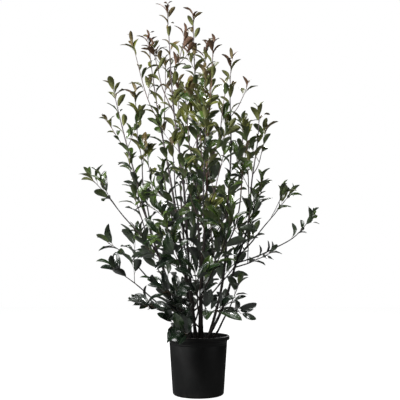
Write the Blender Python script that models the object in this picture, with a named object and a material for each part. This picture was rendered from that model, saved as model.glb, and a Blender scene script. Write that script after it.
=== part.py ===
"""A potted photinia shrub: a black nursery pot, its potting soil, ten stems that rise from one root crown,
the side boughs they carry, and the masses of leafy twigs those limbs end in.

Metres, +Z up. The origin is the middle of the pot's flat underside, and -Y is the plant's front.
"""

import math
import random

import bmesh
import bpy
from mathutils import Matrix, Vector
from mathutils.bvhtree import BVHTree
from mathutils.kdtree import KDTree

# Pot and soil
POT_HEIGHT = 0.255
POT_FOOT_RADIUS = 0.113
POT_TOP_RADIUS = 0.130
POT_WALL = 0.0022
POT_FLOOR = 0.003
POT_FOOT_ROUND = 0.010
LIP_HEIGHT = 0.016
LIP_OUT = 0.0085
LIP_ROUND = 0.003
POT_SIDES = 32
SHARP_BEND = math.radians(35)
MERGE_GAP = 0.00001
DRAIN_COUNT = 6
DRAIN_RADIUS = 0.008
DRAIN_RING = 0.078
DRAIN_SIDES = 8
SOIL_TOP = 0.230

# The space left between pieces that meet, and the wider one kept round leaves and twigs
CLEAR = 0.0003
LEAF_ROOM = 0.0012

# Limbs: radius where one starts, at most this share of its parent's, and where its whip ends
STEM_RADIUS = 0.0072
BOUGH_RADIUS = 0.0042
TWIG_RADIUS = 0.0016
WHIP_RADIUS = 0.0012
PARENT_SHARE = 0.72
SHORT_STEM_SHARE = 0.6
TAPER_POWER = 0.8
STEM_SIDES = 7
BOUGH_SIDES = 6
TWIG_SIDES = 3
LIMB_RING_GAP = 0.11
WHIP_RING_GAP = 0.10

# A stem's swollen foot, and how limbs curve and wander
FLARE = 0.55
FLARE_SHARE = 0.05
CURVE_HANDLE = 0.36
WANDER = 0.007
WAVES = (1.5, 2.4)
CURVE_STEPS = 24
AHEAD = 0.01

# Leaves: size low and high in the crown, and how they sit on a twig
CROWN_TOP = 1.80
LEAF_GAP = 0.072
LEAF_LOW = 0.112
LEAF_HIGH = 0.072
LEAF_WIDTH = 0.42
LEAF_WIDEST = 0.56
LEAF_THICK = 0.022
LEAF_ARCH = 0.10
LEAF_FOLD = 0.10
SPREAD_LOW = math.radians(64)
SPREAD_TIP = math.radians(32)
LEAF_ROLL = math.radians(40)
LIGHT_PULL = 0.25
GOLDEN_TURN = math.radians(137.5)
FIRST_LEAF = 0.03
PLACE_IN_GAP = (0.1, 0.5)
SIZE_RANGE = (0.85, 1.15)
FACE_LIFT = 0.5
TIP_LEAVES = 4
TIP_STEP = 0.01
TWIG_TIP_LEAVES = 2

# Side twigs: long and close together low in the crown, short and far apart on the tall shoots, and none
# longer than the rest of its shoot
TWIG_EVERY_LOW = 3
TWIG_EVERY_HIGH = 7
TWIG_LOW = 0.19
TWIG_HIGH = 0.11
SHORTEST_TWIG = 0.07
TWIG_SPREAD = math.radians(50)
TWIG_LIFT = 0.5
TWIG_LEAFLESS = 0.28
TALL = 0.95

# Turns tried for a leaf or a twig that would touch something, and how far one may lean to another mass
TRIES = [math.radians(turn) for turn in (0, 40, -40, 80, -80, 140)]
SPACE_SHARE = 1.25

# Every shoot is one curve from its foot, or from a share along its parent, to its tip. Its first part, up to the
# share "bare", is a limb of its own, and the rest leads a mass of foliage. "out" leans its start away from the
# parent, and "lift" turns its end upward.
#   name: (foot x and y, tip, out, lift, bare)
STEMS = {
    "stem_1": ((-0.012, 0.004), (-0.145, -0.030, 1.750), -0.02, 0.45, 0.35),
    "stem_2": ((0.016, 0.014), (-0.025, 0.080, 1.765), 0.00, 0.00, 0.26),
    "stem_3": ((0.006, -0.022), (0.065, -0.150, 1.530), -0.05, 0.10, 0.20),
    "stem_4": ((0.040, 0.016), (0.155, 0.040, 1.520), 0.25, 0.45, 0.38),
    "stem_5": ((0.034, -0.016), (0.275, -0.070, 1.245), 0.30, 1.60, 0.52),
    "stem_6": ((-0.034, 0.012), (-0.235, 0.030, 1.615), -0.10, 0.35, 0.35),
    "stem_7": ((-0.032, -0.018), (-0.385, -0.050, 1.355), 0.10, 0.30, 0.48),
    "stem_8": ((-0.004, 0.036), (-0.105, 0.280, 1.475), 0.40, 0.90, 0.35),
    "stem_9": ((0.002, -0.044), (0.030, -0.350, 1.140), 0.40, 0.90, 0.30),
    "stem_10": ((0.054, -0.004), (0.172, -0.100, 0.470), 0.30, 0.10, 0.58),
}
#   name: (parent, share along it, tip, out, lift, bare)
BOUGHS = {
    "left_long": ("stem_7", 0.36, (-0.485, -0.020, 0.955), 0.2, -0.05, 0.50),
    "left_tall": ("stem_7", 0.42, (-0.305, 0.120, 1.375), 0.1, 0.55, 0.40),
    "left_middle": ("stem_7", 0.14, (-0.410, 0.020, 0.665), 0.1, -0.25, 0.52),
    "left_low": ("stem_7", 0.07, (-0.365, -0.100, 0.550), 0.1, -0.1, 0.60),
    "left_front": ("stem_6", 0.30, (-0.150, -0.160, 0.970), 0.4, 0.9, 0.30),
    "left_inner": ("stem_1", 0.30, (-0.115, -0.120, 1.105), 0.7, 0.9, 0.36),
    "right_long": ("stem_5", 0.38, (0.420, 0.050, 0.885), 0.1, 0.0, 0.52),
    "right_reach": ("stem_5", 0.35, (0.507, -0.040, 0.785), 0.9, 0.9, 0.56),
    "right_tall": ("stem_4", 0.33, (0.215, 0.140, 1.250), 0.8, 1.1, 0.40),
    "back_left": ("stem_8", 0.30, (-0.270, 0.360, 1.150), 0.5, 0.8, 0.36),
    "back_right": ("stem_8", 0.26, (0.245, 0.360, 1.140), 0.5, 0.8, 0.42),
    "back_middle": ("stem_8", 0.20, (-0.015, 0.460, 0.880), 0.5, 0.6, 0.32),
}
# A spray's whip starts right at its parent, so the spray has no limb: the same, with its leafless share last
SPRAYS = {
    "left_foot": ("stem_6", 0.04, (-0.235, 0.050, 0.385), 0.5, -0.4, 0.36),
    "left_rim": ("stem_7", 0.03, (-0.115, -0.175, 0.305), 0.3, -1.2, 0.24),
    "left_twig": ("stem_7", 0.46, (-0.330, 0.090, 1.060), 0.1, 0.3, 0.20),
    "left_spur": ("stem_7", 0.33, (-0.275, -0.110, 0.855), 0.3, 0.3, 0.20),
    "right_low": ("stem_5", 0.33, (0.310, -0.100, 0.615), 0.5, 0.1, 0.30),
    "right_spur": ("stem_5", 0.50, (0.285, -0.020, 0.900), 0.2, 0.2, 0.30),
    "back_low_left": ("stem_8", 0.12, (-0.300, 0.320, 0.710), 0.4, 0.3, 0.32),
    "back_low_right": ("stem_8", 0.10, (0.270, 0.340, 0.710), 0.4, 0.3, 0.32),
    "back_foot": ("stem_8", 0.06, (0.040, 0.360, 0.470), 0.4, 0.0, 0.28),
    "front_left": ("stem_9", 0.22, (-0.120, -0.380, 0.715), 0.4, 0.5, 0.32),
    "front_right": ("stem_9", 0.26, (0.135, -0.380, 0.765), 0.4, 0.5, 0.32),
    "front_low": ("stem_9", 0.12, (-0.010, -0.400, 0.525), 0.4, 0.1, 0.28),
    "front_foot": ("stem_9", 0.08, (-0.070, -0.270, 0.430), 0.8, 0.0, 0.24),
}
# A fork leaves a whip inside its mass and is one piece with it: the same, with its leafless share last
FORKS = {
    "fork_1": ("stem_1", 0.78, (-0.060, -0.090, 1.600), 0.3, 0.5, 0.25),
    "fork_1_left": ("stem_1", 0.68, (-0.205, -0.060, 1.545), 0.3, 0.5, 0.25),
    "fork_2": ("stem_2", 0.60, (0.035, 0.010, 1.560), 0.3, 0.5, 0.25),
    "fork_2_low": ("stem_2", 0.50, (-0.060, 0.010, 1.330), 0.3, 0.5, 0.25),
    "fork_2_right": ("stem_2", 0.56, (0.060, 0.050, 1.450), 0.3, 0.5, 0.25),
    "fork_3": ("stem_3", 0.52, (0.000, -0.190, 1.270), 0.3, 0.5, 0.25),
    "fork_3_right": ("stem_3", 0.56, (0.120, -0.170, 1.330), 0.3, 0.5, 0.25),
    "fork_3_top": ("stem_3", 0.62, (0.030, -0.150, 1.400), 0.3, 0.5, 0.25),
    "fork_4": ("stem_4", 0.80, (0.225, 0.030, 1.385), 0.3, 0.3, 0.25),
    "fork_5": ("stem_5", 0.74, (0.305, -0.020, 1.175), 0.5, 0.8, 0.25),
    "fork_5_left": ("stem_5", 0.60, (0.215, -0.110, 1.130), 0.3, 0.5, 0.25),
    "fork_6": ("stem_6", 0.72, (-0.310, 0.020, 1.600), 0.3, 0.1, 0.25),
    "fork_6_right": ("stem_6", 0.68, (-0.155, 0.060, 1.510), 0.3, 0.5, 0.25),
    "fork_7": ("stem_7", 0.76, (-0.430, -0.020, 1.230), 0.3, -0.2, 0.25),
    "fork_8": ("stem_8", 0.50, (0.050, 0.290, 1.210), 0.3, 0.5, 0.25),
    "fork_2_back": ("stem_2", 0.40, (0.030, 0.190, 1.160), 0.3, 0.5, 0.25),
    "fork_back": ("back_middle", 0.50, (-0.120, 0.330, 0.800), 0.3, 0.5, 0.25),
    "fork_9": ("stem_9", 0.56, (-0.060, -0.310, 0.960), 0.3, 0.4, 0.25),
    "fork_9_right": ("stem_9", 0.62, (0.105, -0.330, 1.020), 0.3, 0.4, 0.25),
    "fork_10": ("stem_10", 0.66, (0.180, -0.130, 0.360), 0.3, -0.4, 0.30),
    "fork_middle": ("front_right", 0.42, (0.050, -0.300, 0.820), 0.3, 0.5, 0.30),
    "fork_low": ("front_low", 0.45, (-0.160, -0.300, 0.480), 0.3, 0.2, 0.30),
    "fork_left": ("front_left", 0.50, (-0.215, -0.270, 0.640), 0.3, 0.3, 0.30),
    "fork_centre": ("front_low", 0.50, (0.070, -0.320, 0.590), 0.3, 0.4, 0.30),
    "fork_upper": ("front_right", 0.50, (0.125, -0.260, 0.880), 0.3, 0.4, 0.30),
    "fork_inner": ("left_front", 0.50, (-0.050, -0.240, 0.820), 0.3, 0.4, 0.30),
    "fork_right": ("right_low", 0.36, (0.215, -0.160, 0.815), 0.3, 0.5, 0.30),
    "fork_rim_front": ("left_rim", 0.34, (-0.045, -0.175, 0.365), 0.3, -0.2, 0.20),
    "fork_rim_high": ("left_rim", 0.28, (-0.090, -0.140, 0.450), 0.3, 0.3, 0.20),
}
BRANCHES = BOUGHS | SPRAYS | FORKS

# Base colour and roughness
PAINTS = {
    "pot": ((0.012, 0.013, 0.014, 1), 0.55),
    "soil": ((0.030, 0.020, 0.014, 1), 0.95),
    "bark": ((0.060, 0.045, 0.038, 1), 0.80),
    "leaf": ((0.045, 0.085, 0.028, 1), 0.35),
}


def clear_scene():
    for old in list(bpy.data.objects):
        bpy.data.objects.remove(old)


def paint(name):
    """The material of that name, made the first time it is asked for."""
    if name in bpy.data.materials:
        return bpy.data.materials[name]
    made = bpy.data.materials.new(name)
    made.use_nodes = True
    shader = made.node_tree.nodes["Principled BSDF"]
    colour, roughness = PAINTS[name]
    shader.inputs["Base Color"].default_value = colour
    shader.inputs["Roughness"].default_value = roughness
    shader.inputs["Metallic"].default_value = 0.0
    return made


def solid(name, points, faces, material, collection=None):
    """A mesh object of these faces, turned outward."""
    bm = bmesh.new()
    verts = [bm.verts.new(point) for point in points]
    for face in faces:
        bm.faces.new([verts[i] for i in face])
    bmesh.ops.recalc_face_normals(bm, faces=bm.faces)
    mesh = bpy.data.meshes.new(name)
    bm.to_mesh(mesh)
    bm.free()
    mesh.materials.append(paint(material))
    made = bpy.data.objects.new(name, mesh)
    (collection or bpy.context.scene.collection).objects.link(made)
    return made


def apply_modifiers(target):
    """Puts what the modifiers make into the object's own mesh."""
    graph = bpy.context.evaluated_depsgraph_get()
    made = bpy.data.meshes.new_from_object(target.evaluated_get(graph))
    target.modifiers.clear()
    old = target.data
    target.data = made
    bpy.data.meshes.remove(old)
    made.name = target.name


def cut_away(target, cutter):
    """Takes the cutter's shape out of the target, and the cutter out of the scene."""
    cut = target.modifiers.new("cut", "BOOLEAN")
    cut.operation = "DIFFERENCE"
    cut.object = cutter
    apply_modifiers(target)
    bpy.data.objects.remove(cutter)


def shell_round(face):
    """All the faces that hang together with this one."""
    shell = {face}
    edge_faces = [face]
    while edge_faces:
        for edge in edge_faces.pop().edges:
            for other in edge.link_faces:
                if other not in shell:
                    shell.add(other)
                    edge_faces.append(other)
    return shell


def keep_largest(target):
    """Drops loose scraps and fills sealed hollows, so that one closed shell is left."""
    bm = bmesh.new()
    bm.from_mesh(target.data)
    left = set(bm.faces)
    shells = []
    while left:
        shell = shell_round(next(iter(left)))
        shells.append(shell)
        left -= shell
    shells.sort(key=lambda shell: sum(face.calc_area() for face in shell))
    spare = [face for shell in shells[:-1] for face in shell]
    bmesh.ops.delete(bm, geom=spare, context="FACES")
    bm.to_mesh(target.data)
    bm.free()


# Pot and soil


def arc(centre_x, centre_z, radius, start, end, steps):
    """Profile points round part of a circle, from one angle to another in degrees."""
    angles = [math.radians(start + (end - start) * i / steps) for i in range(steps + 1)]
    return [(centre_x + radius * math.cos(a), centre_z + radius * math.sin(a)) for a in angles]


def turned(name, profile, material):
    """A solid of revolution about Z. Its profile starts and ends on the axis, and comes down the outside."""
    mesh = bpy.data.meshes.new(name)
    edges = [(i, i + 1) for i in range(len(profile) - 1)]
    mesh.from_pydata([(x, 0, z) for x, z in profile], edges, [])
    mesh.materials.append(paint(material))
    made = bpy.data.objects.new(name, mesh)
    bpy.context.scene.collection.objects.link(made)
    turn = made.modifiers.new("turn", "SCREW")
    turn.steps = POT_SIDES
    turn.render_steps = POT_SIDES
    turn.use_merge_vertices = True
    turn.merge_threshold = MERGE_GAP
    apply_modifiers(made)
    made.data.shade_smooth()
    made.data.set_sharp_from_angle(angle=SHARP_BEND)
    return made


def wall_radius(z):
    """The radius of the outside of the pot's wall at height z."""
    return POT_FOOT_RADIUS + (POT_TOP_RADIUS - POT_FOOT_RADIUS) * z / POT_HEIGHT


def inside_profile(gap):
    """The pot's inside from its floor's edge to the bend of its wall, stepped inward and up by a gap."""
    floor_edge = wall_radius(POT_FLOOR) - POT_WALL - POT_FOOT_ROUND / 2
    bend = wall_radius(POT_FOOT_ROUND) - POT_WALL
    return [(floor_edge - gap, POT_FLOOR + gap), (bend - gap, POT_FOOT_ROUND + gap / 2)]


def build_pot():
    lip_low = POT_HEIGHT - LIP_HEIGHT
    lip_radius = POT_TOP_RADIUS + LIP_OUT
    lip_turn = POT_HEIGHT - LIP_ROUND
    profile = [(0, POT_FLOOR), *inside_profile(0), (POT_TOP_RADIUS - POT_WALL, lip_turn)]
    profile += arc(POT_TOP_RADIUS, lip_turn, POT_WALL, 180, 90, 1)[1:]
    profile += arc(lip_radius - LIP_ROUND, lip_turn, LIP_ROUND, 90, 0, 2)
    profile += [(lip_radius, lip_low), (wall_radius(lip_low), lip_low - LIP_ROUND)]
    profile += arc(wall_radius(0) - POT_FOOT_ROUND, POT_FOOT_ROUND, POT_FOOT_ROUND, 0, -90, 3)
    profile += [(0, 0)]
    pot = turned("pot", profile, "pot")
    for i in range(DRAIN_COUNT):
        angle = math.tau * i / DRAIN_COUNT
        centre = Vector((DRAIN_RING * math.cos(angle), DRAIN_RING * math.sin(angle), 0))
        ends = [(centre + Vector((0, 0, z)), Vector((0, 0, 1)), DRAIN_RADIUS) for z in (-0.01, 0.01)]
        cut_away(pot, solid("drain", *tube(ends, DRAIN_SIDES), "pot"))
    return pot


def build_soil():
    gap = 2 * CLEAR
    foot = inside_profile(gap)
    top_radius = wall_radius(SOIL_TOP) - POT_WALL - gap
    return turned("soil", [(0, SOIL_TOP), (top_radius, SOIL_TOP), *reversed(foot), (0, foot[0][1])], "soil")


# Limbs


class Curve:
    """A shoot's centre line: a cubic from its start to its tip, with a slow wander to either side."""

    def __init__(self, name, start, tip, out, lift):
        self.start = Vector(start)
        self.tip = Vector(tip)
        chord = self.tip - self.start
        level = Vector((chord.x, chord.y, 0)).normalized()
        handle = chord.length * CURVE_HANDLE
        self.first = self.start + (chord.normalized() + level * out).normalized() * handle
        self.second = self.tip - (chord.normalized() + Vector((0, 0, lift))).normalized() * handle
        rng = random.Random(name)
        self.across = Matrix.Rotation(rng.uniform(0, math.tau), 3, chord) @ chord.orthogonal().normalized()
        self.waves = rng.uniform(*WAVES)
        self.wander = WANDER * min(1, chord.length)
        places = [self.at(i / CURVE_STEPS) for i in range(CURVE_STEPS + 1)]
        self.length = sum((b - a).length for a, b in zip(places, places[1:]))

    def at(self, t):
        s = 1 - t
        smooth = self.start * s**3 + self.first * 3 * s * s * t + self.second * 3 * s * t * t + self.tip * t**3
        return smooth + self.across * self.wander * math.sin(math.pi * t) * math.sin(math.tau * self.waves * t)

    def along(self, t):
        return (self.at(min(1, t + AHEAD)) - self.at(max(0, t - AHEAD))).normalized()


def make_curves():
    """The curve of every stem, bough and fork, by name."""
    curves = {}
    for name, (foot, tip, out, lift, _bare) in STEMS.items():
        curves[name] = Curve(name, (*foot, SOIL_TOP + CLEAR), tip, out, lift)
    for name, (parent, share, tip, out, lift, _bare) in BRANCHES.items():
        curves[name] = Curve(name, curves[parent].at(share), tip, out, lift)
    return curves


def limb_share(name):
    """How much of a shoot is a limb of its own."""
    return STEMS[name][-1] if name in STEMS else BOUGHS[name][-1] if name in BOUGHS else 0


def radius_at(name, t):
    """A shoot's radius at share t: it tapers all the way, and a stem swells at its foot."""
    if name in STEMS:
        height = STEMS[name][1][2] / CROWN_TOP
        thick = STEM_RADIUS * (SHORT_STEM_SHARE + (1 - SHORT_STEM_SHARE) * height)
        thick *= 1 + FLARE * max(0, 1 - t / FLARE_SHARE) ** 2
    else:
        parent, share = BRANCHES[name][:2]
        thick = min(BOUGH_RADIUS, PARENT_SHARE * radius_at(parent, share))
    return WHIP_RADIUS + (thick - WHIP_RADIUS) * max(0, 1 - t) ** TAPER_POWER


def tube(rings, sides):
    """The points and faces of a closed tube through rings of (centre, direction, radius)."""
    points = []
    for centre, along, radius in rings:
        turn = Vector((0, 0, 1)).rotation_difference(along)
        for i in range(sides):
            angle = math.tau * i / sides
            points.append(centre + turn @ Vector((radius * math.cos(angle), radius * math.sin(angle), 0)))
    faces = [tuple(range(sides)), tuple(range(len(points) - sides, len(points)))]
    for low in range(0, len(points) - sides, sides):
        for i in range(sides):
            j = (i + 1) % sides
            faces.append((low + i, low + j, low + sides + j, low + sides + i))
    return points, faces


def shoot_rings(name, curve, low, high, gap, room=0.0):
    """Rings along part of a shoot, with some room added to its radius."""
    count = max(2, round((high - low) * curve.length / gap))
    shares = [low + (high - low) * i / count for i in range(count + 1)]
    if name in STEMS and low == 0:
        shares.insert(1, FLARE_SHARE / 2)
    rings = [(curve.at(t), curve.along(t), radius_at(name, t) + room) for t in shares]
    if name in STEMS and low == 0:
        rings[0] = (rings[0][0], Vector((0, 0, 1)), rings[0][2])
    return rings


def limb(name, node, curves, room=0.0):
    """The bare part of a stem or a bough."""
    rings = shoot_rings(name, curves[name], 0, limb_share(name), LIMB_RING_GAP, room)
    return solid(node, *tube(rings, STEM_SIDES if name in STEMS else BOUGH_SIDES), "bark")


def clear_parent(target, name, curves):
    """Cuts the root of a shoot that starts inside its parent clear of the parent's limb."""
    parent = BRANCHES[name][0]
    cut_away(target, limb(parent, "room", curves, CLEAR / math.cos(math.pi / STEM_SIDES)))
    keep_largest(target)


def build_limbs(curves):
    limbs = [limb(name, name, curves) for name in STEMS]
    for name in BOUGHS:
        bough = limb(name, f"bough_{name}", curves)
        clear_parent(bough, name, curves)
        limbs.append(bough)
    return limbs


# Masses of foliage

LEAF_FACES = [(0, 1, 2), (0, 2, 3), (0, 3, 4), (0, 4, 1), (5, 2, 1), (5, 3, 2), (5, 4, 3), (5, 1, 4)]


def leaf_points(root, heading, face, length, room=0.0):
    """A leaf's root, left edge, underside, right edge, upper side and tip: arched, and folded along its middle."""
    side = heading.cross(face)
    middle = root + heading * LEAF_WIDEST * length + face * LEAF_ARCH * length
    half = side * (LEAF_WIDTH * length / 2 + room)
    fold = face * LEAF_FOLD * LEAF_WIDTH * length
    thick = face * (LEAF_THICK * length / 2 + room)
    tip = root + heading * (length + 4 * room)
    return [root, middle - half + fold, middle - thick, middle + half + fold, middle + thick, tip]


def twig_rings(twig, room=0.0):
    shares = (0, 0.5, 1)
    return [(twig.at(t), twig.along(t), TWIG_RADIUS + (WHIP_RADIUS - TWIG_RADIUS) * t + room) for t in shares]


def line_tree(curves):
    """Points along several curves, to find how near they pass."""
    points = [curve.at(i / CURVE_STEPS) for curve in curves for i in range(CURVE_STEPS + 1)]
    tree = KDTree(len(points))
    for i, point in enumerate(points):
        tree.insert(point, i)
    tree.balance()
    return tree


class Foliage:
    """One mass: the whip of a shoot and its forks, the twigs on them, and the leaves on all of these."""

    def __init__(self, name, curves, barred):
        self.name = name
        self.curves = curves
        self.barred = barred
        self.rng = random.Random(f"foliage {name}")
        self.turn = self.rng.uniform(0, math.tau)
        self.pieces = bpy.data.collections.new(name)
        self.trees = []
        shoots = [name, *(fork for fork in FORKS if FORKS[fork][0] == name)]
        self.near = line_tree(curves[shoot] for shoot in shoots)
        self.far = line_tree(curves[other] for other in curves if other not in shoots)
        for shoot in shoots:
            self.grow_shoot(shoot)

    def grow_shoot(self, shoot):
        curve = self.curves[shoot]
        low = limb_share(shoot)
        leafless = low + FIRST_LEAF / curve.length if low > 0 else BRANCHES[shoot][-1]
        if low > 0:
            low += CLEAR / curve.length
        whip = self.add(*tube(shoot_rings(shoot, curve, low, 1, WHIP_RING_GAP), TWIG_SIDES))
        twig_every = TWIG_EVERY_HIGH if curve.tip.z > TALL else TWIG_EVERY_LOW
        self.grow_leaves(curve, whip, leafless, twig_every, TIP_LEAVES)

    def grow_leaves(self, curve, axis, low, twig_every, tip_leaves):
        """Leaves up an axis, each a golden turn on from the last, with twigs among them."""
        count = max(1, round((1 - low) * curve.length / LEAF_GAP))
        for i in range(count):
            t = low + (1 - low) * (i + self.rng.uniform(*PLACE_IN_GAP)) / count
            if twig_every and i % twig_every == 0 and (1 - t) * curve.length > SHORTEST_TWIG:
                self.grow_twig(curve, axis, t)
            else:
                self.grow_leaf(curve, axis, t, SPREAD_LOW + (SPREAD_TIP - SPREAD_LOW) * t)
        for i in range(tip_leaves):
            self.grow_leaf(curve, axis, 1 - TIP_STEP * (i + 1) / curve.length, SPREAD_TIP)

    def by_height(self, root, low, high):
        """A length that goes from low at the soil to high at the crown's top, and varies a little."""
        height = (root.z - SOIL_TOP) / (CROWN_TOP - SOIL_TOP)
        return (low + (high - low) * height) * self.rng.uniform(*SIZE_RANGE)

    def headings(self, curve, t, spread):
        """The directions to try at a place on an axis, each with the way its upper side faces."""
        self.turn += GOLDEN_TURN
        along = curve.along(t)
        roll = self.rng.uniform(-LEAF_ROLL, LEAF_ROLL)
        for extra in TRIES:
            out = Matrix.Rotation(self.turn + extra, 3, along) @ along.orthogonal().normalized()
            heading = along * math.cos(spread) + out * math.sin(spread)
            heading = (heading + Vector((0, 0, LIGHT_PULL))).normalized()
            face = along + Vector((0, 0, FACE_LIFT))
            face = (face - heading * face.dot(heading)).normalized()
            yield heading, Matrix.Rotation(roll, 3, heading) @ face

    def grow_twig(self, curve, axis, t):
        root = curve.at(t)
        length = min(self.by_height(root, TWIG_LOW, TWIG_HIGH), (1 - t) * curve.length)
        for heading, _face in self.headings(curve, t, TWIG_SPREAD):
            twig = Curve(f"{self.name} twig {t:.2f}", root, root + heading * length, 0, TWIG_LIFT)
            if self.fits(twig.tip, axis, tube(twig_rings(twig, LEAF_ROOM), TWIG_SIDES)):
                own = self.add(*tube(twig_rings(twig), TWIG_SIDES))
                self.grow_leaves(twig, own, TWIG_LEAFLESS, 0, TWIG_TIP_LEAVES)
                return

    def grow_leaf(self, curve, axis, t, spread):
        root = curve.at(t)
        length = self.by_height(root, LEAF_LOW, LEAF_HIGH)
        for heading, face in self.headings(curve, t, spread):
            room = (leaf_points(root, heading, face, length, LEAF_ROOM), LEAF_FACES)
            if self.fits(root + heading * length, axis, room):
                self.add(leaf_points(root, heading, face, length), LEAF_FACES)
                return

    def fits(self, tip, axis, room):
        """Whether a twig or a leaf on an axis keeps to the mass's space and clear of all that stands there."""
        if tip.z > CROWN_TOP or self.near.find(tip)[2] > SPACE_SHARE * self.far.find(tip)[2]:
            return False
        tree = BVHTree.FromPolygons(*room)
        return not any(tree.overlap(other) for other in self.barred + self.trees if other is not axis)

    def add(self, points, faces):
        """A piece of the mass, and its surface for what grows after it."""
        solid(f"{self.name}_{len(self.trees)}", points, faces, "leaf", self.pieces)
        self.trees.append(BVHTree.FromPolygons(points, faces))
        return self.trees[-1]

    def join(self):
        """Makes one solid of the whips, the twigs and the leaves."""
        body, *rest = self.pieces.objects
        self.pieces.objects.unlink(body)
        bpy.context.scene.collection.objects.link(body)
        body.name = f"foliage_{self.name}"
        fuse = body.modifiers.new("fuse", "BOOLEAN")
        fuse.operation = "UNION"
        fuse.operand_type = "COLLECTION"
        fuse.collection = self.pieces
        apply_modifiers(body)
        for piece in rest:
            bpy.data.objects.remove(piece)
        bpy.data.collections.remove(self.pieces)
        keep_largest(body)
        return body


def tree_of(target):
    """The surface of an object, to find what touches it."""
    bm = bmesh.new()
    bm.from_mesh(target.data)
    tree = BVHTree.FromBMesh(bm)
    bm.free()
    return tree


def build_foliage(curves, solids):
    barred = [tree_of(made) for made in solids]
    for name in (*STEMS, *BOUGHS, *SPRAYS):
        mass = Foliage(name, curves, barred)
        body = mass.join()
        if name in SPRAYS:
            clear_parent(body, name, curves)
        barred += mass.trees


clear_scene()
shoot_curves = make_curves()
build_foliage(shoot_curves, [build_pot(), build_soil(), *build_limbs(shoot_curves)])
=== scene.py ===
import math
import random

import bpy
import numpy as np
from mathutils import Matrix, Vector
from mathutils.bvhtree import BVHTree
from mathutils.kdtree import KDTree


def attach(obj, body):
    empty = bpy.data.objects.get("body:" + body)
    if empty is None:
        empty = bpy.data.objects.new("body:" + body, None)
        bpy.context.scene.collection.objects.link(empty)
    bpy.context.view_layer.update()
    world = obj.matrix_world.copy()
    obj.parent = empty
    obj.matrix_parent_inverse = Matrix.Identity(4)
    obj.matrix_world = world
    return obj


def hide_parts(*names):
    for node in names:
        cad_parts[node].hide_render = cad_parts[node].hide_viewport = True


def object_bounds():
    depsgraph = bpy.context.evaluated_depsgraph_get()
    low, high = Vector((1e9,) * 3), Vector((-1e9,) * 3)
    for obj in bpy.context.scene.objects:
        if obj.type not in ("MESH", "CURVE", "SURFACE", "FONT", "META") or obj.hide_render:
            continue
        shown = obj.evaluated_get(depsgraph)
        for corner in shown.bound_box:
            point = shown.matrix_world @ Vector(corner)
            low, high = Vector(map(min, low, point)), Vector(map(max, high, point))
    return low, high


# A potted photinia: stems, boughs, twigs and leaves that grow by the solids' rule, in a black nursery pot
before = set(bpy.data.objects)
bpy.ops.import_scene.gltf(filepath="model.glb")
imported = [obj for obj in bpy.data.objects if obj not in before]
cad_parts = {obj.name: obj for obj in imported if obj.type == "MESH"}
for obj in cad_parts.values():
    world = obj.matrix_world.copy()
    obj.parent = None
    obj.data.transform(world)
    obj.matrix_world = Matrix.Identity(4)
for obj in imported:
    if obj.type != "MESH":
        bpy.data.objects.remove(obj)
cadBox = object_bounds()
print("frame loaded:", len(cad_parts), "solids")


# Shoots: the same curves that the solids follow

growth = {
    "soilTop": 0.230,
    "clear": 0.0003,
    "crownTop": 1.80,
    "stemRadius": 0.0072,
    "boughRadius": 0.0042,
    "whipRadius": 0.0012,
    "parentShare": 0.72,
    "flare": 0.55,
    "flareShare": 0.05,
    "shortStemShare": 0.6,
    "taperPower": 0.8,
    "curveHandle": 0.36,
    "wander": 0.007,
    "waves": (1.5, 2.4),
    "curveSteps": 24,
    "ahead": 0.01,
}

# name: foot x and y, tip, out, lift, share that is a limb of its own, and for its foliage
# the seeded variant and how far apart its leaves are, as a multiple of the rule's gap
stems = {
    "stem_1": ((-0.012, 0.004), (-0.145, -0.03, 1.75), -0.02, 0.45, 0.35, 3, 0.8),
    "stem_2": ((0.016, 0.014), (-0.025, 0.08, 1.765), 0.0, 0.0, 0.26, 38, 0.8),
    "stem_3": ((0.006, -0.022), (0.065, -0.15, 1.53), -0.05, 0.1, 0.2, 10, 1.0),
    "stem_4": ((0.04, 0.016), (0.155, 0.04, 1.52), 0.25, 0.45, 0.38, 1, 1.0),
    "stem_5": ((0.034, -0.016), (0.275, -0.07, 1.245), 0.3, 1.6, 0.52, 22, 2.0),
    "stem_6": ((-0.034, 0.012), (-0.235, 0.03, 1.615), -0.1, 0.35, 0.35, 52, 1.0),
    "stem_7": ((-0.032, -0.018), (-0.385, -0.05, 1.355), 0.1, 0.3, 0.48, 45, 0.8),
    "stem_8": ((-0.004, 0.036), (-0.105, 0.28, 1.475), 0.4, 0.9, 0.35, 5, 1.3),
    "stem_9": ((0.002, -0.044), (0.03, -0.35, 1.14), 0.4, 0.9, 0.3, 20, 1.0),
    "stem_10": ((0.054, -0.004), (0.172, -0.1, 0.47), 0.3, 0.1, 0.58, 5, 1.6),
}

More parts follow.
